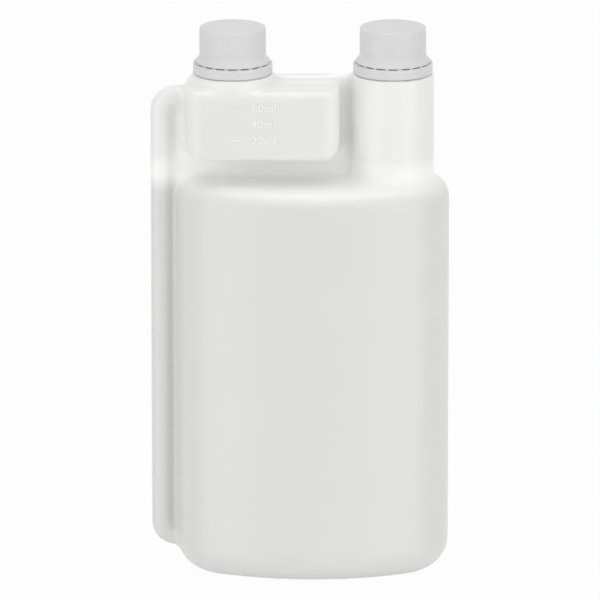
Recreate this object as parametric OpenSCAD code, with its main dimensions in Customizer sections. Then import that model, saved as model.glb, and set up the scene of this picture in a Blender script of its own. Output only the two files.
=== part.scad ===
// Twin-neck dosing bottle. The body holds the liquid. Squeezing it drives the liquid up the side
// tube into the dosing chamber, which pours from its own neck. The second neck fills the body.
// Sizes are in millimetres. The base stands on z = 0, and the two necks lie on y = 0.

/* [Body] */
// Width of the body, without the side tube
body_w = 124.2; // [116:0.1:134]
// Depth of the body, front to back
body_d = 71; // [66:0.5:78]
// Height of the shoulder above the base
body_h = 184.8; // [160:0.2:210]
// Radius of the heel between base and walls
heel_r = 14.5; // [10:0.5:17]
// Radius of the shoulder edge
shoulder_r = 9.1; // [6:0.1:11]
// Thickness of the blown wall
wall = 1.2; // [0.9:0.1:1.6]
// Width of the flat foot that the bottle stands on
foot_w = 3.5; // [2.5:0.1:5]
// Height of the hollow inside the foot
push_up = 1.8; // [1:0.1:3]

/* [Necks] */
// Distance between the two neck axes
neck_spacing = 72.6; // [68:0.2:78]
// Height of the neck bases above the shoulder
neck_rise = 48.4; // [44:0.2:54]
// Diameter of the neck wall at the thread root
neck_d = 25.4; // [24.6:0.1:26]
// Diameter of the pouring bore
bore_d = 21.6; // [19:0.1:22]
// Height of the neck above its base
neck_h = 18.9; // [17.5:0.1:20]
// Diameter of the bead that the tamper band snaps under
bead_d = 30.4; // [29.6:0.1:30.8]
// Height of the bead's underside above the neck base
bead_rise = 3.3; // [3.1:0.1:3.6]
// Thickness of the bead
bead_t = 1.4; // [1:0.1:1.5]

/* [Filling tower] */
// Diameter of the tower under the filling neck
tower_d = 37.6; // [37:0.2:40]
// Radius of the flare where the tower meets the shoulder
flare_r = 3; // [1:0.5:4]
// Radius of the edge round the top of the tower and of the dosing neck's boss
boss_r = 1.4; // [0.8:0.1:1.8]

/* [Dosing chamber] */
// Width of the chamber
chamber_w = 69.6; // [66:0.2:74]
// Depth of the chamber, front to back
chamber_d = 42; // [41:0.5:48]
// Height of the chamber
chamber_h = 32.2; // [28:0.2:34]
// Drop from the neck base to the top of the chamber
chamber_drop = 4.7; // [3.5:0.1:6]
// Distance of the chamber's left wall beyond the dosing neck axis
chamber_reach = 21.2; // [21:0.1:23]
// Radius of the chamber's upright edges
chamber_edge_r = 10.5; // [5:0.5:12]
// Radius of the chamber's lower corners, seen from the front
chamber_corner_r = 7.5; // [5:0.5:9]
// Radius of the chamber's upper corners, seen from the front
chamber_rim_r = 2.5; // [2:0.5:4]
// Radius of the chamber's top edges, front and back
chamber_top_r = 6; // [4:0.5:7]
// Radius of the chamber's bottom edges, front and back
chamber_floor_r = 2.5; // [2.5:0.5:5]
// Diameter of the dosing neck's boss where it meets the chamber
boss_foot_d = 41.4; // [40:0.2:42]

/* [Dose scale] */
// Height of the first mark above the chamber's floor
mark_rise = 10; // [8:0.1:12]
// Height between marks
mark_step = 7.5; // [6:0.1:8.2]
// Length of a mark
mark_l = 7.2; // [4:0.2:9]
// Distance of the marks' middle from the dosing neck's axis, to the right
mark_shift = 1.4; // [0:0.1:4]
// Height of the moulded relief
relief = 0.3; // [0.2:0.05:0.5]

/* [Side tube] */
// Outer diameter of the tube
tube_d = 9.4; // [8.6:0.1:10.4]
// Thickness of the tube's wall
tube_wall = 1.3; // [1:0.1:1.6]
// Clear distance between the tube and the body
tube_gap = 2.2; // [1.5:0.1:4]
// Radius of the tube's bends, at its centre line
tube_bend_r = 6.2; // [5.4:0.1:7.5]
// Height of the lower run of the tube above the base
tube_low = 15.3; // [13:0.1:22]
// Drop from the chamber's top to the upper run of the tube
tube_drop = 6.4; // [5.8:0.1:9]
// Thickness of the pinched web between tube, chamber, tower and body
web_t = 2.6; // [2:0.1:3.5]
// Drop from the neck bases to the top of the web
web_drop = 0.6; // [0.2:0.1:2]

/* [Caps] */
// Outer diameter of the cap
cap_d = 30; // [29.4:0.1:30.6]
// Thickness of the cap's skirt
cap_wall = 1.1; // [0.9:0.05:1.2]
// Thickness of the cap's top
cap_top_t = 1.3; // [1:0.1:1.8]
// Radius of the cap's top edge
cap_edge_r = 0.9; // [0.4:0.1:1.2]
// Diameter of the flare at the foot of the cap
flare_d = 33.8; // [33:0.1:34.6]
// Height of the flare
flare_h = 3; // [2:0.1:4]
// Thickness of the sealing liner
liner_t = 1; // [0.6:0.1:1.5]
// Clearance between the liner and the cap's skirt
liner_gap = 0.3; // [0.1:0.05:0.5]
// Clearance between the cap's foot and the bead under it
bead_gap = 0.3; // [0.2:0.05:0.6]

/* [Tamper bands] */
// Outer diameter of the band
band_d = 36; // [35.4:0.1:37]
// Height of the slit between band and cap
slit_h = 0.45; // [0.3:0.05:0.6]
// Thickness of the band's outer wall
band_wall = 1.3; // [1:0.1:1.5]
// Clearance between the band and the tower under it
band_gap = 0.6; // [0.3:0.1:0.8]
// Thickness of the band's lip and flap
flap_t = 0.8; // [0.6:0.1:0.9]
// Clearance between the band's flap and the neck
flap_gap = 1.7; // [1.2:0.1:2]
// Clearance between the band's flap and the bead above it
flap_drop = 0.4; // [0.3:0.1:0.6]
// Number of bridges that join the band to the cap
bridges = 18; // [12:1:24]
// Width of one bridge
bridge_w = 1.9; // [1.2:0.1:2.6]
// Thickness of one bridge
bridge_t = 0.8; // [0.5:0.1:0.9]

/* [Hidden] */
$fn = 96;

// The origin is under the middle of the whole width, tube included.
overall_w = body_w + tube_gap + tube_d;
body_x = (overall_w - body_w) / 2;
dosing_x = body_x - neck_spacing / 2;
fill_x = body_x + neck_spacing / 2;
tube_x = -overall_w / 2 + tube_d / 2;

// The body's plan has two flat arcs, front and back, and two tight ones at the ends. They meet on rays
// with the slope of a 36, 77, 85 triangle, which keeps every centre at a short, exact coordinate.
plan_step = round((body_w - body_d) / 56 * 1000) / 1000;
end_x = 36 * plan_step;
end_r = body_w / 2 - end_x;
face_y = 77 * plan_step;
face_r = 85 * plan_step + end_r;

neck_z = body_h + neck_rise;
mouth_z = neck_z + neck_h;
chamber_top_z = neck_z - chamber_drop;
chamber_z = chamber_top_z - chamber_h;
chamber_x = dosing_x - chamber_reach + chamber_w / 2;
tube_high = chamber_top_z - tube_drop;

// The cap seats on its liner, and its foot ends just above the bead. The band fills the rest.
cap_z = mouth_z + liner_t + cap_top_t;
bead_z = neck_z + bead_rise;
slit_z = bead_z + bead_t + bead_gap;
band_z = neck_z + band_gap;
band_h = slit_z - slit_h - band_z;

// Quarter disc that rounds one outer corner of a section.
module corner(r, x_side, y_side) {
    intersection() {
        circle(r);
        translate([x_side > 0 ? 0 : -r, y_side > 0 ? 0 : -r]) square(r);
    }
}

// Half section of a turned block, from the axis out to r, with round outer corners.
module half_section(r, z0, z1, r_low, r_high) {
    translate([0, z0 + r_low]) square([r, z1 - z0 - r_low - r_high]);
    if (r_low > 0) {
        translate([0, z0]) square([r - r_low, r_low]);
        translate([r - r_low, z0 + r_low]) corner(r_low, 1, -1);
    }
    if (r_high > 0) {
        translate([0, z1 - r_high]) square([r - r_high, r_high]);
        translate([r - r_high, z1 - r_high]) corner(r_high, 1, 1);
    }
}

// Upright block with the body's plan, and with round edges. inset draws every wall in alike.
module oval_block(inset, z0, z1, r_low, r_high) {
    far_x = body_w;
    for (side = [-1, 1]) {
        translate([body_x, 0, 0]) intersection() {
            translate([0, -side * face_y, 0]) rotate_extrude()
                half_section(face_r - inset, z0, z1, r_low, r_high);
            translate([0, 0, z0]) linear_extrude(z1 - z0)
                polygon([[-end_x, 0], [end_x, 0], [2 * end_x, side * face_y], [-2 * end_x, side * face_y]]);
        }
        translate([body_x, 0, 0]) intersection() {
            translate([side * end_x, 0, 0]) rotate_extrude()
                half_section(end_r - inset, z0, z1, r_low, r_high);
            translate([0, 0, z0]) linear_extrude(z1 - z0) polygon([
                [side * end_x, 0], [side * 2 * end_x, -face_y], [side * far_x, -face_y],
                [side * far_x, face_y], [side * 2 * end_x, face_y]
            ]);
        }
    }
}

// Rectangle w wide that stands on y = 0, with its own radius for the two lower and two upper corners.
module rounded_plate(w, h, r_low, r_high) {
    translate([-w / 2, r_low]) square([w, h - r_low - r_high]);
    translate([-w / 2 + r_low, 0]) square([w - 2 * r_low, r_low]);
    translate([-w / 2 + r_high, h - r_high]) square([w - 2 * r_high, r_high]);
    for (side = [-1, 1]) {
        translate([side * (w / 2 - r_low), r_low]) corner(r_low, side, -1);
        translate([side * (w / 2 - r_high), h - r_high]) corner(r_high, side, 1);
    }
}

// The dosing chamber as a block rounded in all three views. inset draws every wall in.
module chamber_block(inset) {
    w = chamber_w - 2 * inset;
    d = chamber_d - 2 * inset;
    h = chamber_h - 2 * inset;
    translate([chamber_x, 0, chamber_z + inset]) intersection() {
        translate([0, d / 2, 0]) rotate([90, 0, 0]) linear_extrude(d)
            rounded_plate(w, h, chamber_corner_r - inset, chamber_rim_r - inset);
        linear_extrude(h) translate([0, -d / 2])
            rounded_plate(w, d, chamber_edge_r - inset, chamber_edge_r - inset);
        translate([-w / 2, 0, 0]) rotate([90, 0, 90]) linear_extrude(w)
            rounded_plate(d, h, chamber_floor_r - inset, chamber_top_r - inset);
    }
}

// The side tube's run: out of the body, up beside it, and into the chamber.
module tube_run(d) {
    reach = end_r / 2;
    bend_x = tube_x + tube_bend_r;
    translate([tube_x, 0, tube_low + tube_bend_r])
        cylinder(d = d, h = tube_high - tube_low - 2 * tube_bend_r);
    for (end = [[tube_low, 1], [tube_high, -1]]) {
        translate([bend_x, 0, end[0]]) rotate([0, 90, 0]) cylinder(d = d, h = reach);
        translate([bend_x, 0, end[0] + end[1] * tube_bend_r]) rotate([90, 0, 0])
            rotate(end[1] > 0 ? 180 : 90) rotate_extrude(angle = 90)
                translate([tube_bend_r, 0]) circle(d = d);
    }
}

// The web: the two walls of the parison pinched flat on the parting plane.
module web() {
    module panel(x0, x1, z0, z1) {
        translate([x0, -web_t / 2, z0]) cube([x1 - x0, web_t, z1 - z0]);
    }
    low_z = body_h - shoulder_r;
    panel(tube_x, fill_x, low_z, tube_high);
    panel(dosing_x, fill_x, low_z, neck_z - web_drop);
    panel(tube_x, body_x - body_w / 2 + end_r / 2, tube_low + tube_bend_r, low_z);
}

// The tower under the filling neck, with a flare that runs out below the shoulder.
module tower() {
    r = tower_d / 2;
    sink = flare_r / 2;
    translate([fill_x, 0, 0]) {
        rotate_extrude() half_section(r, body_h - shoulder_r, neck_z, 0, boss_r);
        rotate_extrude() difference() {
            translate([0, body_h - shoulder_r]) square([r + flare_r, shoulder_r + flare_r - sink]);
            translate([r + flare_r, body_h + flare_r - sink]) circle(flare_r);
        }
    }
}

// The boss under the dosing neck: it widens towards the chamber and stands in its top.
module boss(inset) {
    r = tower_d / 2 - inset;
    foot_r = boss_foot_d / 2 - inset;
    foot_z = chamber_top_z - chamber_top_r;
    translate([dosing_x, 0, 0]) rotate_extrude() {
        half_section(r, foot_z, neck_z - inset, 0, boss_r - min(inset, boss_r / 2));
        polygon([
            [0, foot_z], [foot_r, foot_z], [foot_r, foot_z + 1],
            [r, neck_z - boss_r - inset], [0, neck_z - boss_r - inset]
        ]);
    }
}

// One neck from its base to its mouth, with the bead under the thread.
module neck(x) {
    root = neck_d / 2;
    bead = bead_d / 2;
    lip = (neck_d - bore_d) / 8;
    low = bead_rise;
    translate([x, 0, neck_z]) rotate_extrude()
        polygon([
            [0, -wall], [root, -wall], [root, low], [bead, low], [bead, low + bead_t / 2],
            [root, low + bead_t], [root, neck_h - lip], [root - lip, neck_h], [0, neck_h]
        ]);
}

// Moulded marks on the chamber's front wall.
module marks() {
    for (i = [0:2])
        translate([dosing_x + mark_shift - mark_l / 2, -chamber_d / 2 - relief,
            chamber_z + mark_rise + i * mark_step - relief]) cube([mark_l, relief + wall / 2, relief * 2]);
}

module bottle() {
    bore = bore_d / 2;
    color("whitesmoke") difference() {
        union() {
            oval_block(0, 0, body_h, heel_r, shoulder_r);
            tower();
            chamber_block(0);
            boss(0);
            tube_run(tube_d);
            web();
            neck(dosing_x);
            neck(fill_x);
            marks();
        }
        oval_block(heel_r + foot_w, -push_up, push_up, 0, push_up / 2);
        difference() {
            oval_block(wall, wall, body_h - wall, heel_r - wall, shoulder_r - wall);
            oval_block(heel_r + foot_w - wall, 0, push_up + wall, 0, push_up / 2);
        }
        chamber_block(wall);
        boss(wall);
        tube_run(tube_d - 2 * tube_wall);
        translate([fill_x, 0, 0]) rotate_extrude()
            half_section(tower_d / 2 - wall, body_h - shoulder_r, neck_z - wall, 0, boss_r / 2);
        for (x = [dosing_x, fill_x])
            translate([x, 0, neck_z - 2 * wall]) cylinder(r = bore, h = neck_h + 4 * wall);
    }
}

// A screw cap with a flared foot and a plain bore that clears the neck thread.
module cap(x) {
    r = cap_d / 2;
    flare = flare_d / 2;
    inner = r - cap_wall;
    roof = cap_z - cap_top_t;
    step = flare_h / 5;
    translate([x, 0, 0]) color("gainsboro") difference() {
        union() {
            rotate_extrude() half_section(r, slit_z, cap_z, 0, cap_edge_r);
            rotate_extrude() polygon([
                [0, slit_z], [flare, slit_z], [flare, slit_z + step],
                [r, slit_z + flare_h], [0, slit_z + flare_h]
            ]);
        }
        translate([0, 0, slit_z - 1]) cylinder(r = inner, h = roof - slit_z + 1);
        rotate_extrude() polygon([
            [0, slit_z - 1], [flare - cap_wall, slit_z - 1], [flare - cap_wall, slit_z + step],
            [inner, slit_z + flare_h], [0, slit_z + flare_h]
        ]);
    }
}

// The sealing disc between the mouth and the cap's top.
module liner(x) {
    color("white") translate([x, 0, mouth_z]) cylinder(r = cap_d / 2 - cap_wall - liner_gap, h = liner_t);
}

// The tamper band, with a lip at the top, a flap that catches under the bead, and the bridges to the cap.
module band(x) {
    r = band_d / 2;
    inner = r - band_wall;
    lip = flare_d / 2 - cap_wall;
    flap = neck_d / 2 + flap_gap;
    flap_top = bead_z - flap_drop - band_z;
    edge = band_wall / 4;
    translate([x, 0, band_z]) color("gainsboro") {
        rotate_extrude() polygon([
            [inner, 0], [r - edge, 0], [r, edge], [r, band_h - edge], [r - edge, band_h], [lip, band_h],
            [lip, band_h - flap_t], [inner, band_h - flap_t - edge], [inner, flap_top - flap_t],
            [flap + flap_t, flap_top], [flap, flap_top - flap_t / 2], [inner - edge, edge]
        ]);
        for (i = [0:bridges - 1])
            rotate(i * 360 / bridges)
                translate([(lip + flare_d / 2 - bridge_t) / 2, -bridge_w / 2, band_h - slit_h])
                    cube([bridge_t, bridge_w, 2 * slit_h]);
    }
}

bottle();
cap(dosing_x);  // dosing_cap
liner(dosing_x);  // dosing_liner
band(dosing_x);  // dosing_band
cap(fill_x);  // fill_cap
liner(fill_x);  // fill_liner
band(fill_x);  // fill_band
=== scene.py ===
import math

import bpy
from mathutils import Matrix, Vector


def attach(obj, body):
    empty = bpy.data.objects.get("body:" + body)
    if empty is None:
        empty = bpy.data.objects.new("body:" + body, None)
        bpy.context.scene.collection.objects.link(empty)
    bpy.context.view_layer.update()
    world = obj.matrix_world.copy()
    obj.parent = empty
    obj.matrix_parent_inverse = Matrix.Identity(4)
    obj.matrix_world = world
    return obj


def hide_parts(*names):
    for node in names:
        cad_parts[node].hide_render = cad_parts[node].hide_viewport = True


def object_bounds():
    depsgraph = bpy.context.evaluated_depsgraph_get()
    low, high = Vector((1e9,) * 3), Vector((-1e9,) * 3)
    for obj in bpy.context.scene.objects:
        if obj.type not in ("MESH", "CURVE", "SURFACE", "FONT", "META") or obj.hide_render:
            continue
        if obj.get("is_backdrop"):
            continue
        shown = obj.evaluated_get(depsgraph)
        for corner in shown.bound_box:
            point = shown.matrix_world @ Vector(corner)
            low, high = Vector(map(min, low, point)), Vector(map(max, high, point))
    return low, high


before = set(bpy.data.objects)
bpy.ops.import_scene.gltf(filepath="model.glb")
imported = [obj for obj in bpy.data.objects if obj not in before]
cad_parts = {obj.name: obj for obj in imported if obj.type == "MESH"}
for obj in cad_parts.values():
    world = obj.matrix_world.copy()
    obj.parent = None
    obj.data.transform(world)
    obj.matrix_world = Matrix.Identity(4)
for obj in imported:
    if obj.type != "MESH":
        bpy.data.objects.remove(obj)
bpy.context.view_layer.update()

# ---------------------------------------------------------------------------------------------
# The bottle. One hollow piece of natural, unpigmented high-density polyethylene. A soft tube of
# plastic is closed in a mould and blown against it, so body, tower, dosing chamber and side tube
# are one wall. Where the mould pinches the tube flat, it leaves the thin webs on the middle plane.
# ---------------------------------------------------------------------------------------------
MM = 0.001

body_x, body_w, body_h = 5.8, 124.2, 184.8
end_x, face_y = 34.2, 73.15
heel_r, shoulder_r, wall = 14.5, 9.1, 1.2
foot_inset, push_up = 18.0, 1.8
dosing_x, fill_x, tube_x = -30.5, 42.1, -63.2
neck_z, mouth_z = 233.2, 252.1
tower_r, boss_foot_r, boss_edge = 18.8, 20.7, 0.8
chamber_low, chamber_high = 196.3, 228.5
chamber_left, chamber_right, chamber_front = -51.7, 17.9, 21.0
chamber_edge, chamber_corner, chamber_rim, chamber_floor, chamber_top = 10.5, 7.5, 2.5, 2.5, 6.0
tube_r, tube_bore_r, tube_bend, tube_low, tube_high = 4.7, 3.4, 6.2, 15.3, 222.1
web_half = 1.3
neck_r, bore_r, bead_r = 12.7, 10.8, 15.2
thread_r, thread_pitch = 13.6, 4.2333
first_dose, dose_step = 10.0, 7.5


def start():
    """Object mode with nothing selected."""
    if bpy.context.object and bpy.context.mode != "OBJECT":
        bpy.ops.object.mode_set(mode="OBJECT")
    bpy.ops.object.select_all(action="DESELECT")


def place():
    """Leaves edit mode and puts the object's place into its mesh."""
    bpy.ops.object.mode_set(mode="OBJECT")
    bpy.ops.object.transform_apply(location=True, rotation=True, scale=True)
    return bpy.context.object


def pick(part, kind, test):
    """In edit mode, selects the corners, edges or faces whose place in millimetres passes the test."""
    bpy.ops.object.mode_set(mode="EDIT")
    bpy.ops.mesh.select_mode(type=kind)
    bpy.ops.mesh.select_all(action="DESELECT")
    bpy.ops.object.mode_set(mode="OBJECT")
    mesh = part.data
    if kind == "VERT":
        for corner in mesh.vertices:
            corner.select = test(corner.co / MM)
    elif kind == "EDGE":
        for edge in mesh.edges:
            a, b = (mesh.vertices[i].co / MM for i in edge.vertices)
            edge.select = test((a + b) / 2, (b - a).normalized())
    else:
        for face in mesh.polygons:
            face.select = test(face.center / MM, face.normal)
    bpy.ops.object.mode_set(mode="EDIT")


def near(a, b):
    return abs(a - b) < 0.02


def close_up():
    """Merges doubled corners, closes the ends and turns every face outwards."""
    bpy.ops.object.mode_set(mode="EDIT")
    bpy.ops.mesh.select_mode(type="VERT")
    bpy.ops.mesh.select_all(action="SELECT")
    bpy.ops.mesh.remove_doubles(threshold=0.00001)
    bpy.ops.mesh.fill_holes(sides=0)
    bpy.ops.mesh.select_all(action="SELECT")
    bpy.ops.mesh.normals_make_consistent(inside=False)
    bpy.ops.object.mode_set(mode="OBJECT")


def box_form(x0, x1, y0, y1, z0, z1):
    """A cube stretched to its place."""
    start()
    middle = ((x0 + x1) / 2 * MM, (y0 + y1) / 2 * MM, (z0 + z1) / 2 * MM)
    bpy.ops.mesh.primitive_cube_add(size=MM, location=middle)
    bpy.context.object.scale = (x1 - x0, y1 - y0, z1 - z0)
    return place()


def round_edges(part, test, radius, steps):
    """Bevels the chosen edges round."""
    pick(part, "EDGE", test)
    bpy.ops.mesh.bevel(offset=radius * MM, segments=steps)
    bpy.ops.object.mode_set(mode="OBJECT")
    return part


def turned(points, steps, x=0.0):
    """Turns a closed outline of (radius, height, rounding) about the upright axis at x."""
    start()
    bpy.ops.mesh.primitive_plane_add(size=MM, rotation=(math.pi / 2, 0, 0))
    part = place()
    bpy.ops.object.mode_set(mode="EDIT")
    bpy.ops.mesh.select_mode(type="VERT")
    bpy.ops.mesh.select_all(action="SELECT")
    bpy.ops.mesh.merge(type="CENTER")
    r, z = points[0][:2]
    bpy.ops.transform.translate(value=(r * MM, 0, z * MM))
    for r1, z1 in [p[:2] for p in points[1:]]:
        stroke = ((r1 - r) * MM, 0, (z1 - z) * MM)
        bpy.ops.mesh.extrude_region_move(TRANSFORM_OT_translate={"value": stroke})
        r, z = r1, z1
    bpy.ops.mesh.select_all(action="SELECT")
    bpy.ops.mesh.edge_face_add()
    for r, z, rounding in points:
        if rounding:
            pick(part, "VERT", lambda p: near(p.x, r) and near(p.z, z))
            bpy.ops.mesh.bevel(offset=rounding * MM, segments=4, affect="VERTICES")
    pick(part, "FACE", lambda p, n: True)
    bpy.ops.mesh.delete(type="ONLY_FACE")
    pick(part, "EDGE", lambda p, d: abs(p.x) < 0.001)
    bpy.ops.mesh.delete(type="EDGE")
    bpy.ops.mesh.select_mode(type="VERT")
    bpy.ops.mesh.select_all(action="SELECT")
    bpy.ops.mesh.spin(steps=steps, angle=2 * math.pi, center=(0, 0, 0), axis=(0, 0, -1))
    close_up()
    part.location = (x * MM, 0, 0)
    return place()


def oval_form(inset, low, high, low_r, high_r, deep, tight_steps, flat_steps):
    """An upright block with the body's plan: the edge of a section is spun round its four arcs."""
    start()
    edge = body_w / 2 - inset
    bpy.ops.mesh.primitive_plane_add(size=MM, rotation=(math.pi / 2, 0, 0),
                                     location=((body_x + edge - deep / 2) * MM, 0, (low + high) / 2 * MM))
    bpy.context.object.scale = (deep, high - low, 1)
    part = place()
    for z, r in ((low, low_r), (high, high_r)):
        if r:
            pick(part, "VERT", lambda p: near(p.x, body_x + edge) and near(p.z, z))
            bpy.ops.mesh.bevel(offset=r * MM, segments=9, affect="VERTICES")
    pick(part, "FACE", lambda p, n: True)
    bpy.ops.mesh.delete(type="ONLY_FACE")
    pick(part, "EDGE", lambda p, d: near(p.x, body_x + edge - deep))
    bpy.ops.mesh.delete(type="EDGE")
    bpy.ops.mesh.select_mode(type="VERT")
    bpy.ops.mesh.select_all(action="SELECT")
    half = math.atan2(end_x, face_y)
    tight, flat = math.pi / 2 - half, 2 * half
    for x, y, turn, steps in ((end_x, 0, tight, tight_steps), (0, -face_y, flat, flat_steps),
                              (-end_x, 0, 2 * tight, 2 * tight_steps), (0, face_y, flat, flat_steps),
                              (end_x, 0, tight, tight_steps)):
        bpy.ops.mesh.spin(steps=steps, angle=turn, center=((body_x + x) * MM, y * MM, 0), axis=(0, 0, -1))
    close_up()
    return part


def tube_form(radius, sides):
    """The side tube's run, extruded and spun from one disc: out of the body, up, and into the chamber."""
    start()
    reach, bend_x = 14, tube_x + tube_bend
    bpy.ops.mesh.primitive_circle_add(vertices=sides, radius=radius * MM, fill_type="NGON",
                                      rotation=(0, math.pi / 2, 0),
                                      location=((bend_x + reach) * MM, 0, tube_low * MM))
    part = place()
    bpy.ops.object.mode_set(mode="EDIT")
    bpy.ops.mesh.select_all(action="SELECT")
    bpy.ops.mesh.extrude_region_move(TRANSFORM_OT_translate={"value": (-reach * MM, 0, 0)})
    bpy.ops.mesh.spin(steps=10, angle=math.pi / 2, axis=(0, -1, 0),
                      center=(bend_x * MM, 0, (tube_low + tube_bend) * MM))
    rise = tube_high - tube_low - 2 * tube_bend
    bpy.ops.mesh.extrude_region_move(TRANSFORM_OT_translate={"value": (0, 0, rise * MM)})
    bpy.ops.mesh.spin(steps=10, angle=math.pi / 2, axis=(0, -1, 0),
                      center=(bend_x * MM, 0, (tube_high - tube_bend) * MM))
    bpy.ops.mesh.extrude_region_move(TRANSFORM_OT_translate={"value": (reach * MM, 0, 0)})
    close_up()
    return part


def joined(parts):
    """Makes the parts one object."""
    start()
    for part in parts:
        part.select_set(True)
    bpy.context.view_layer.objects.active = parts[0]
    bpy.ops.object.join()
    return bpy.context.object


def finish_with(part, kind, **settings):
    """Gives the part a modifier and applies it."""
    start()
    part.select_set(True)
    bpy.context.view_layer.objects.active = part
    step = part.modifiers.new("step", kind)
    for name, value in settings.items():
        setattr(step, name, value)
    bpy.ops.object.modifier_apply(modifier=step.name)
    return part


def combine(part, other, how):
    """Adds the other form to the part, or cuts it away."""
    finish_with(part, "BOOLEAN", object=other, operation=how, solver="MANIFOLD")
    bpy.data.objects.remove(other)
    return part


def chamber_form(inset, steps):
    """The dosing chamber: three blocks, each rounded in one view, cut down to what they share. The
    radii are a wall thickness small, inside for the wall, and outside because smoothing adds as much."""
    left, right, front = chamber_left + inset, chamber_right - inset, chamber_front - inset
    low, high = chamber_low + inset, chamber_high - inset
    part = box_form(left, right, -front, front, low, high)
    round_edges(part, lambda p, d: abs(d.z) > 0.9, chamber_edge - wall, steps)
    for across, low_r, high_r in ((1, chamber_corner, chamber_rim), (0, chamber_floor, chamber_top)):
        block = box_form(left, right, -front, front, low, high)
        round_edges(block, lambda p, d: abs(d[across]) > 0.9 and near(p.z, low), low_r - wall, steps)
        round_edges(block, lambda p, d: abs(d[across]) > 0.9 and near(p.z, high), high_r - wall, steps)
        combine(part, block, "INTERSECT")
    return part


def thread(radius, root, z, turns, x, width):
    """A ridge that climbs to the right round the axis at x, and runs out into the wall at both ends."""
    start()
    bpy.ops.mesh.primitive_plane_add(size=MM, rotation=(math.pi / 2, 0, 0),
                                     location=((radius + root) / 2 * MM, 0, z * MM))
    bpy.context.object.scale = (abs(radius - root), width, 1)
    part = place()
    pick(part, "VERT", lambda p: near(p.x, radius))
    bpy.ops.transform.resize(value=(1, 1, 0.4), center_override=(radius * MM, 0, z * MM))
    pick(part, "FACE", lambda p, n: True)
    bpy.ops.mesh.delete(type="ONLY_FACE")
    bpy.ops.object.mode_set(mode="OBJECT")
    steps = round(64 * turns)
    finish_with(part, "SCREW", angle=2 * math.pi * turns, screw_offset=thread_pitch * turns * MM,
                steps=steps, render_steps=steps)
    for corner in part.data.vertices:
        along = corner.index // 4
        if near(corner.co.xy.length / MM, radius):
            sunk = 0.95 * max(0, 1 - min(along, steps - along) / 10) ** 2
            corner.co.xy *= 1 + sunk * (root - radius) / radius
    close_up()
    part.location = (x * MM, 0, 0)
    return place()


# The outside. The plain forms run into each other, one skin is laid over them all, and smoothing
# gives it the soft run-outs of blown plastic.
forms = [oval_form(0, 0, body_h, heel_r, shoulder_r, 18, 14, 24)]
for x, low, foot in ((fill_x, body_h - 14, tower_r), (dosing_x, chamber_high - 6, boss_foot_r)):
    start()
    bpy.ops.mesh.primitive_cone_add(vertices=96, radius1=foot * MM, radius2=tower_r * MM,
                                    depth=(neck_z - low) * MM,
                                    location=(x * MM, 0, (neck_z + low) / 2 * MM))
    forms.append(round_edges(place(), lambda p, d: near(p.z, neck_z) and abs(d.z) < 0.01, boss_edge, 4))
forms.append(chamber_form(0, 6))
forms.append(tube_form(tube_r + 0.25, 28))
for x0, x1, z0, z1 in ((tube_x, fill_x, body_h - 14, tube_high),
                       (dosing_x, fill_x, body_h - 10, neck_z - 0.6),
                       (tube_x, -42, tube_low + tube_bend, body_h - 12)):
    forms.append(box_form(x0, x1, -web_half, web_half, z0, z1))
bottle = joined(forms)
bottle.name = bottle.data.name = "blown_bottle"
finish_with(bottle, "REMESH", mode="VOXEL", voxel_size=1.3 * MM)
finish_with(bottle, "SMOOTH", factor=0.5, iterations=9)

# The necks are shaped by a mandrel and the neck ring, so they are crisper than the rest.
for x in (dosing_x, fill_x):
    neck = turned(((0, neck_z - 1.2, 0), (neck_r, neck_z - 1.2, 0), (neck_r, neck_z + 3.3, 0.25),
                   (bead_r, neck_z + 3.3, 0.2), (bead_r, neck_z + 4.0, 0.15), (neck_r, neck_z + 4.7, 0.3),
                   (neck_r, mouth_z, 0.5), (0, mouth_z, 0)), 128, x)
    combine(neck, thread(thread_r, neck_r - 0.3, neck_z + 7.2, 1.75, x, 1.9), "UNION")
    combine(bottle, neck, "UNION")

# The inside, one wall thickness in: the reservoir, the tower and the bores, the chamber, the tube.
hollows = [oval_form(wall, wall + 2, body_h - wall, heel_r - wall, shoulder_r - wall, 18, 8, 16)]
for x, low in ((fill_x, body_h - 14), (dosing_x, chamber_high - 6)):
    hollows.append(turned(((0, low, 0), (tower_r - wall, low, 0), (tower_r - wall, neck_z - wall, 1.0),
                           (0, neck_z - wall, 0)), 64, x))
    hollows.append(turned(((0, neck_z - 3, 0), (bore_r, neck_z - 3, 0), (bore_r, mouth_z - 0.5, 0),
                           (bore_r + 0.5, mouth_z, 0), (bore_r + 0.5, mouth_z + 1, 0),
                           (0, mouth_z + 1, 0)), 128, x))
hollows.append(chamber_form(wall, 4))
hollows.append(tube_form(tube_bore_r, 20))
for hollow in hollows:
    combine(bottle, hollow, "DIFFERENCE")

# The base is drawn in, and carries the scar where the mould pinched off the tube of plastic.
combine(bottle, oval_form(foot_inset, -2, push_up, 0, 0.9, 8, 10, 20), "DIFFERENCE")
scar = box_form(body_x - 33, body_x + 33, -0.6, 0.6, push_up - 0.7, push_up + 1)
round_edges(scar, lambda p, d: near(p.z, push_up - 0.7), 0.35, 3)
combine(bottle, scar, "UNION")

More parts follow.
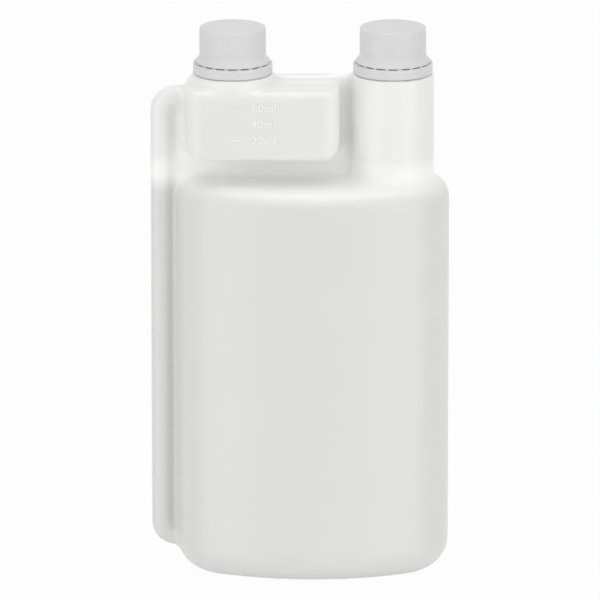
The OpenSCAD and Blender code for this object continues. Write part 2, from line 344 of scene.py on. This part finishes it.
# The dose scale is cut in the mould, so it stands proud. The lowest mark is the deepest.
for i, (dose, proud) in enumerate((("20ml", 0.3), ("40ml", 0.16), ("60ml", 0.16))):
    z = chamber_low + first_dose + dose_step * i
    mark = box_form(dosing_x - 2.2, dosing_x + 5, -chamber_front - proud, -chamber_front + 0.6,
                    z - 0.3, z + 0.3)
    round_edges(mark, lambda p, d: near(p.y, -chamber_front - proud), 0.12, 2)
    combine(bottle, mark, "UNION")
    start()
    bpy.ops.object.text_add(rotation=(math.pi / 2, 0, 0),
                            location=(-22.1 * MM, (-chamber_front + 0.08) * MM, (z - 1.85) * MM))
    words = bpy.context.object
    words.data.body, words.data.size = dose, 5.2 * MM
    words.data.extrude, words.data.bevel_depth, words.data.resolution_u = 0.3 * MM, 0.06 * MM, 4
    bpy.ops.object.convert(target="MESH")
    words = bpy.context.object
    words.scale.x = 11 * MM / words.dimensions.x
    words = place()
    close_up()
    combine(bottle, words, "UNION")

start()
bottle.select_set(True)
bpy.context.view_layer.objects.active = bottle
bpy.ops.object.shade_smooth_by_angle(angle=math.radians(32))


def paint(hex_colour):
    """An sRGB hex colour as linear light."""
    parts = [int(hex_colour[i:i + 2], 16) / 255 for i in (1, 3, 5)]
    return [c / 12.92 if c <= 0.04045 else ((c + 0.055) / 1.055) ** 2.4 for c in parts] + [1]


def add_node(material, kind, settings, sockets):
    """Adds a node. A named socket is linked if it is given another node's socket, and set otherwise."""
    node = material.node_tree.nodes.new(kind)
    for name, value in settings.items():
        setattr(node, name, value)
    for name, value in sockets.items():
        if isinstance(value, bpy.types.NodeSocket):
            material.node_tree.links.new(value, node.inputs[name])
        else:
            node.inputs[name].default_value = value
    return node


def new_material(name):
    material = bpy.data.materials.new(name)
    material.use_nodes = True
    material.node_tree.nodes.clear()
    return material


# Natural HDPE, blown: milky, waxy and slightly translucent, with a satin skin that took the mould's
# fine blast texture. Its colour holds painted light: grey on the lower body, painted whiter half way in the
# chamber, tower and necks, and whitest on the shoulder and webs, standing in for light through thin walls
# and fill light in shade.
hdpe = new_material("natural_hdpe_blown_satin")
spot = add_node(hdpe, "ShaderNodeTexCoord", {}, {})
apart = add_node(hdpe, "ShaderNodeSeparateXYZ", {}, {"Vector": spot.outputs["Object"]})
# painted light: the shoulder band under the chamber is painted whitest where shade falls, and higher up the
# whitening eases to about half
shoulder = add_node(hdpe, "ShaderNodeMapRange", {"interpolation_type": "SMOOTHSTEP"},
                    {"Value": apart.outputs["Z"], "From Min": 0.177, "From Max": 0.187})
above = add_node(hdpe, "ShaderNodeMapRange", {"interpolation_type": "SMOOTHSTEP"},
                 {"Value": apart.outputs["Z"], "From Min": 0.189, "From Max": 0.197, "To Max": -0.45})
# slow drifts of wall thickness, 40 mm across
drift = add_node(hdpe, "ShaderNodeTexNoise", {},
                 {"Vector": spot.outputs["Object"], "Scale": 25.0, "Detail": 1.0})
drift_amount = add_node(hdpe, "ShaderNodeMath", {"operation": "MULTIPLY_ADD"},
                        {0: drift.outputs["Fac"], 1: 0.12, 2: -0.06})
painted_light_and_drift = add_node(hdpe, "ShaderNodeMath", {"operation": "ADD"},
                     {0: shoulder.outputs["Result"], 1: above.outputs["Result"]})
painted_light_and_drift = add_node(hdpe, "ShaderNodeMath", {"operation": "ADD", "use_clamp": True},
                     {0: painted_light_and_drift.outputs[0], 1: drift_amount.outputs[0]})
# the chamber's flat faces get less of the painted whitening, and the scale on them stands proud and is
# thicker
offset = add_node(hdpe, "ShaderNodeMath", {"operation": "ABSOLUTE"}, {0: apart.outputs["Y"]})
face = add_node(hdpe, "ShaderNodeMapRange", {"interpolation_type": "SMOOTHSTEP"},
                {"Value": offset.outputs[0], "From Min": 0.0188, "From Max": 0.0206, "To Max": 0.6})
painted_light_and_drift = add_node(hdpe, "ShaderNodeMath", {"operation": "MULTIPLY_ADD", "use_clamp": True},
                     {0: face.outputs["Result"], 1: above.outputs["Result"], 2: painted_light_and_drift.outputs[0]})
raised = add_node(hdpe, "ShaderNodeMapRange", {},
                  {"Value": offset.outputs[0], "From Min": 0.0211, "From Max": 0.0213, "To Max": -2.0})
scale_part = add_node(hdpe, "ShaderNodeMath", {"operation": "MULTIPLY"},
                      {0: raised.outputs["Result"], 1: above.outputs["Result"]})
painted_light_and_drift = add_node(hdpe, "ShaderNodeMath", {"operation": "MAXIMUM"},
                     {0: painted_light_and_drift.outputs[0], 1: scale_part.outputs[0]})
# the pinched webs: 2.6 mm of solid plastic on the middle plane, beside the tube and above the shoulder,
# painted whitest as painted light where shade falls in the crevices
pinched = add_node(hdpe, "ShaderNodeMapRange", {},
                   {"Value": offset.outputs[0], "From Min": 0.0018, "From Max": 0.0013})
beside = add_node(hdpe, "ShaderNodeMapRange", {},
                  {"Value": apart.outputs["X"], "From Min": -0.054, "From Max": -0.056})
painted_web_light = add_node(hdpe, "ShaderNodeMath", {"operation": "MAXIMUM"},
                    {0: beside.outputs["Result"], 1: shoulder.outputs["Result"]})
painted_web_light = add_node(hdpe, "ShaderNodeMath", {"operation": "MULTIPLY"},
                    {0: painted_web_light.outputs[0], 1: pinched.outputs["Result"]})
whiteness_with_painted_light = add_node(hdpe, "ShaderNodeMath", {"operation": "MAXIMUM"},
                 {0: painted_light_and_drift.outputs[0], 1: painted_web_light.outputs[0]})
# this ramp turns the painted light level into colour: greyer low on the body, whiter above
milk_and_painted_light = add_node(hdpe, "ShaderNodeValToRGB", {}, {"Fac": whiteness_with_painted_light.outputs[0]})
milk_and_painted_light.color_ramp.elements[0].color = paint("#DFDFDE")
milk_and_painted_light.color_ramp.elements[1].color = paint("#FCFCFB")
# blast texture of the mould, 0.8 mm apart, drawn coarser than the real 0.1 mm so that it shows
grain = add_node(hdpe, "ShaderNodeTexNoise", {},
                 {"Vector": spot.outputs["Object"], "Scale": 1200.0, "Detail": 2.0})
skin = add_node(hdpe, "ShaderNodeBump", {},
                {"Height": grain.outputs["Fac"], "Strength": 0.25, "Distance": 0.00003})
# the mould's parting line, 0.4 mm wide, where its halves meet on the middle plane
line = add_node(hdpe, "ShaderNodeMapRange", {"interpolation_type": "SMOOTHSTEP"},
                {"Value": offset.outputs[0], "From Min": 0.0, "From Max": 0.0004,
                 "To Min": 1.0, "To Max": 0.0})
parting = add_node(hdpe, "ShaderNodeBump", {},
                   {"Height": line.outputs["Result"], "Normal": skin.outputs["Normal"], "Strength": 0.6,
                    "Distance": 0.0002})
gloss = add_node(hdpe, "ShaderNodeMapRange", {},
                 {"Value": drift.outputs["Fac"], "To Min": 0.3, "To Max": 0.36})
plastic = add_node(hdpe, "ShaderNodeBsdfPrincipled", {},
                   {"Base Color": milk_and_painted_light.outputs["Color"], "Roughness": gloss.outputs["Result"], "IOR": 1.54,
                    "Subsurface Weight": 0.3, "Subsurface Radius": (1.0, 1.0, 1.0),
                    "Subsurface Scale": 0.001,
                    "Normal": parting.outputs["Normal"]})
add_node(hdpe, "ShaderNodeOutputMaterial", {}, {"Surface": plastic.outputs["BSDF"]})
bottle.data.materials.clear()
bottle.data.materials.append(hdpe)
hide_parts("bottle")
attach(bottle, "bottle")

# ---------------------------------------------------------------------------------------------
# The two screw caps, injection moulded in light grey polypropylene. The skirt has very fine upright
# ribs for the grip and flares out at its foot, and the inside carries the thread.
# ---------------------------------------------------------------------------------------------
cap_r, cap_wall, cap_top, cap_edge = 15.0, 1.1, 1.3, 0.9
flare_r, flare_h = 16.9, 3.0
cap_z, slit_z = 254.4, 238.2
ribs = 72

# Polypropylene, injection moulded: opaque, satin, with a faint spark-eroded grain from the mould.
cap_plastic = new_material("grey_polypropylene_moulded_satin")
spot = add_node(cap_plastic, "ShaderNodeTexCoord", {}, {})
# the grain is 0.6 mm apart, coarser than the real 0.05 mm so that it shows
grain = add_node(cap_plastic, "ShaderNodeTexNoise", {}, {"Vector": spot.outputs["Object"], "Scale": 1600.0})
skin = add_node(cap_plastic, "ShaderNodeBump", {},
                {"Height": grain.outputs["Fac"], "Strength": 0.25, "Distance": 0.00003})
cloud = add_node(cap_plastic, "ShaderNodeTexNoise", {}, {"Vector": spot.outputs["Object"], "Scale": 90.0})
grey = add_node(cap_plastic, "ShaderNodeValToRGB", {}, {"Fac": cloud.outputs["Fac"]})
grey.color_ramp.elements[0].color = paint("#DADADA")
grey.color_ramp.elements[1].color = paint("#DDDDDD")
gloss = add_node(cap_plastic, "ShaderNodeMapRange", {},
                 {"Value": cloud.outputs["Fac"], "To Min": 0.42, "To Max": 0.5})
plastic = add_node(cap_plastic, "ShaderNodeBsdfPrincipled", {},
                   {"Base Color": grey.outputs["Color"], "Roughness": gloss.outputs["Result"], "IOR": 1.49,
                    "Normal": skin.outputs["Normal"]})
add_node(cap_plastic, "ShaderNodeOutputMaterial", {}, {"Surface": plastic.outputs["BSDF"]})

for name, x in (("dosing", dosing_x), ("fill", fill_x)):
    roof, inner = cap_z - cap_top, cap_r - cap_wall
    cap = turned(((0, cap_z - 0.15, 0), (cap_r - 2.2, cap_z - 0.15, 0.4), (cap_r - 1.7, cap_z, 0.3),
                  (cap_r, cap_z, cap_edge), (cap_r, cap_z - 2.6, 0), (cap_r, slit_z + flare_h + 0.8, 0),
                  (cap_r + 0.1, slit_z + flare_h - 0.3, 0.8), (flare_r - 0.25, slit_z + 0.95, 0.3),
                  (flare_r, slit_z + 0.7, 0.1), (flare_r, slit_z, 0.1), (flare_r - cap_wall, slit_z, 0.1),
                  (inner, slit_z + flare_h, 0.3), (inner, roof, 0.4), (0, roof, 0)), 2 * ribs, 0)
    step = math.pi / ribs
    pick(cap, "FACE", lambda p, n: p.xy.length > cap_r - 0.1 and slit_z + flare_h + 1 < p.z < cap_z - 2.7
         and int(math.atan2(p.y, p.x) % (2 * math.pi) / step) % 2 == 0)
    bpy.ops.mesh.inset(thickness=0.12 * MM, depth=0.05 * MM, use_individual=True)
    bpy.ops.object.mode_set(mode="OBJECT")
    combine(cap, thread(inner - 0.9, inner + 0.3, mouth_z - 10.2, 1.5, 0, 1.5), "UNION")
    cap.location = (x * MM, 0, 0)
    cap = place()
    bpy.ops.object.shade_smooth_by_angle(angle=math.radians(34))
    cap.name = cap.data.name = name + "_screw_cap"
    cap.data.materials.clear()
    cap.data.materials.append(cap_plastic)
    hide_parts(name + "_cap")
    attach(cap, name + "_cap")

# ---------------------------------------------------------------------------------------------
# The sealing liners: discs punched from white polyethylene foam sheet and pressed into the caps.
# The mouth has left a shallow ring in each.
# ---------------------------------------------------------------------------------------------
liner_r, liner_t = 13.6, 1.0

# Polyethylene foam: matt and soft white, with closed cells 0.5 mm across that dimple the skin.
foam = new_material("white_polyethylene_foam")
spot = add_node(foam, "ShaderNodeTexCoord", {}, {})
cells = add_node(foam, "ShaderNodeTexVoronoi", {}, {"Vector": spot.outputs["Object"], "Scale": 2000.0})
dimple = add_node(foam, "ShaderNodeBump", {},
                  {"Height": cells.outputs["Distance"], "Strength": 0.5, "Distance": 0.00008})
white = add_node(foam, "ShaderNodeValToRGB", {}, {"Fac": cells.outputs["Distance"]})
white.color_ramp.elements[0].color = paint("#EAEAE8")
white.color_ramp.elements[1].color = paint("#F4F4F2")
body = add_node(foam, "ShaderNodeBsdfPrincipled", {},
                {"Base Color": white.outputs["Color"], "Roughness": 0.75,
                 "Normal": dimple.outputs["Normal"]})
add_node(foam, "ShaderNodeOutputMaterial", {}, {"Surface": body.outputs["BSDF"]})

for name, x in (("dosing", dosing_x), ("fill", fill_x)):
    liner = turned(((0, mouth_z + 0.02, 0), (bore_r + 0.3, mouth_z + 0.02, 0.1),
                    (bore_r + 0.5, mouth_z + 0.12, 0.1), (neck_r - 0.3, mouth_z + 0.12, 0.1),
                    (neck_r - 0.1, mouth_z + 0.02, 0.1),
                    (liner_r, mouth_z + 0.02, 0.2), (liner_r, mouth_z + liner_t - 0.02, 0.2),
                    (0, mouth_z + liner_t - 0.02, 0)), 96, x)
    bpy.ops.object.shade_smooth_by_angle(angle=math.radians(34))
    liner.name = liner.data.name = name + "_foam_liner"
    liner.data.materials.clear()
    liner.data.materials.append(foam)
    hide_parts(name + "_liner")
    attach(liner, name + "_liner")

# ---------------------------------------------------------------------------------------------
# The tamper bands, moulded with the caps in the same grey polypropylene. Eighteen thin bridges join
# each to its cap's foot. The flap inside catches under the neck's bead, and the band stays there.
# ---------------------------------------------------------------------------------------------
band_r, band_wall, band_low, band_high = 18.0, 1.3, 233.3, 237.75
bridges, bridge_w, bridge_t = 18, 1.9, 0.8

for name, x in (("dosing", dosing_x), ("fill", fill_x)):
    inner, lip, flap = band_r - band_wall, flare_r - cap_wall, neck_r + 1.7
    flap_high = neck_z + 3.3 - 0.4
    band = turned(((inner, band_low, 0.1), (band_r, band_low, 0.3), (band_r, band_high, 0.3),
                   (lip, band_high, 0.1), (lip, band_high - 0.8, 0), (inner, band_high - 1.1, 0),
                   (inner, flap_high - 0.8, 0),
                   (flap + 0.8, flap_high, 0.2), (flap, flap_high - 0.4, 0.2),
                   (inner - 0.3, band_low + 0.3, 0)), 144, 0)
    bridge = box_form((lip + flare_r - bridge_t) / 2, (lip + flare_r + bridge_t) / 2,
                      -bridge_w / 2, bridge_w / 2, band_high - 0.3, slit_z)
    round_edges(bridge, lambda p, d: abs(d.z) > 0.9, 0.15, 2)
    pieces = [band, bridge]
    for i in range(1, bridges):
        copy = bpy.data.objects.new("bridge", bridge.data.copy())
        bpy.context.collection.objects.link(copy)
        copy.rotation_euler.z = 2 * math.pi * i / bridges
        start()
        copy.select_set(True)
        bpy.context.view_layer.objects.active = copy
        pieces.append(place())
    band = joined(pieces)
    band.location = (x * MM, 0, 0)
    band = place()
    bpy.ops.object.shade_smooth_by_angle(angle=math.radians(34))
    band.name = band.data.name = name + "_tamper_band"
    band.data.materials.clear()
    band.data.materials.append(cap_plastic)
    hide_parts(name + "_band")
    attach(band, "bottle")

# ---------------------------------------------------------------------------------------------
# The studio: a white floor that keeps a faint shadow, a white room, a tall softbox on each side of
# the camera, a weak one above the camera, and one straight overhead.
# ---------------------------------------------------------------------------------------------
start()
bpy.ops.mesh.primitive_plane_add(size=16, location=(0, 0, -0.0001))
floor = place()
floor.name = floor.data.name = "floor"
pale = new_material("white_studio_floor")
sheet = add_node(pale, "ShaderNodeBsdfDiffuse", {}, {"Color": paint("#F2F2F2")})
glow = add_node(pale, "ShaderNodeEmission", {}, {"Color": (1, 1, 1, 1), "Strength": 1.0})
ray = add_node(pale, "ShaderNodeLightPath", {}, {})
seen = add_node(pale, "ShaderNodeMath", {"operation": "ADD"},
                {0: ray.outputs["Is Camera Ray"], 1: ray.outputs["Is Glossy Ray"]})
seen = add_node(pale, "ShaderNodeMath", {"operation": "ADD", "use_clamp": True},
                {0: seen.outputs[0], 1: ray.outputs["Is Transmission Ray"]})
share = add_node(pale, "ShaderNodeMath", {"operation": "MULTIPLY"}, {0: seen.outputs[0], 1: 0.96})
both = add_node(pale, "ShaderNodeMixShader", {},
                {"Fac": share.outputs[0], 1: sheet.outputs[0], 2: glow.outputs[0]})
add_node(pale, "ShaderNodeOutputMaterial", {}, {"Surface": both.outputs[0]})
floor.data.materials.append(pale)
# the softboxes reach below the table top, and light and reflect past it
floor.visible_glossy = floor.visible_shadow = False
floor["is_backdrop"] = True

# the room is white to the eye and in reflections, and dimmer as light on the object
world = bpy.data.worlds.new("pale_room")
bpy.context.scene.world = world
world.use_nodes = True
world.node_tree.nodes.clear()
ray = add_node(world, "ShaderNodeLightPath", {}, {})
seen = add_node(world, "ShaderNodeMath", {"operation": "ADD"},
                {0: ray.outputs["Is Camera Ray"], 1: ray.outputs["Is Glossy Ray"]})
seen = add_node(world, "ShaderNodeMath", {"operation": "ADD", "use_clamp": True},
                {0: seen.outputs[0], 1: ray.outputs["Is Transmission Ray"]})
level = add_node(world, "ShaderNodeMapRange", {}, {"Value": seen.outputs[0], "To Min": 0.47, "To Max": 1.0})
air = add_node(world, "ShaderNodeBackground", {},
               {"Color": (1, 1, 1, 1), "Strength": level.outputs["Result"]})
add_node(world, "ShaderNodeOutputWorld", {}, {"Surface": air.outputs["Background"]})

box_away, box_tall = 1.3, 1.6
for name, side, wide, power in (("left", -50, 0.95, 5.4), ("right", 48, 0.9, 6.0)):
    start()
    angle = math.radians(side)
    bpy.ops.object.light_add(type="AREA", rotation=(math.pi / 2, 0, angle),
                             location=(box_away * math.sin(angle), -box_away * math.cos(angle), 0.1))
    lamp = bpy.context.object
    lamp.name = name + "_softbox"
    lamp.data.shape, lamp.data.size, lamp.data.size_y, lamp.data.energy = "RECTANGLE", wide, box_tall, power
for name, y, z, tilt, power in (("front_top", -0.9, 1.25, 40, 1.5), ("overhead", 0, 1.5, 0, 6.5)):
    start()
    bpy.ops.object.light_add(type="AREA", location=(0, y, z), rotation=(math.radians(tilt), 0, 0))
    lamp = bpy.context.object
    lamp.name = name + "_softbox"
    lamp.data.shape, lamp.data.size, lamp.data.size_y, lamp.data.energy = "RECTANGLE", 1.4, 0.85, power

# a long lens 4.2 m away, looking down by 14.8 degrees
start()
bpy.ops.object.camera_add(location=(0, -4.0607, 1.1991), rotation=(math.radians(75.2), 0, 0))
camera = bpy.context.object
camera.data.sensor_width, camera.data.lens, camera.data.clip_end = 36, 552.24, 30
bpy.context.scene.camera = camera

scene_view = bpy.context.scene.view_settings
scene_view.view_transform = "Standard"

low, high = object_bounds()
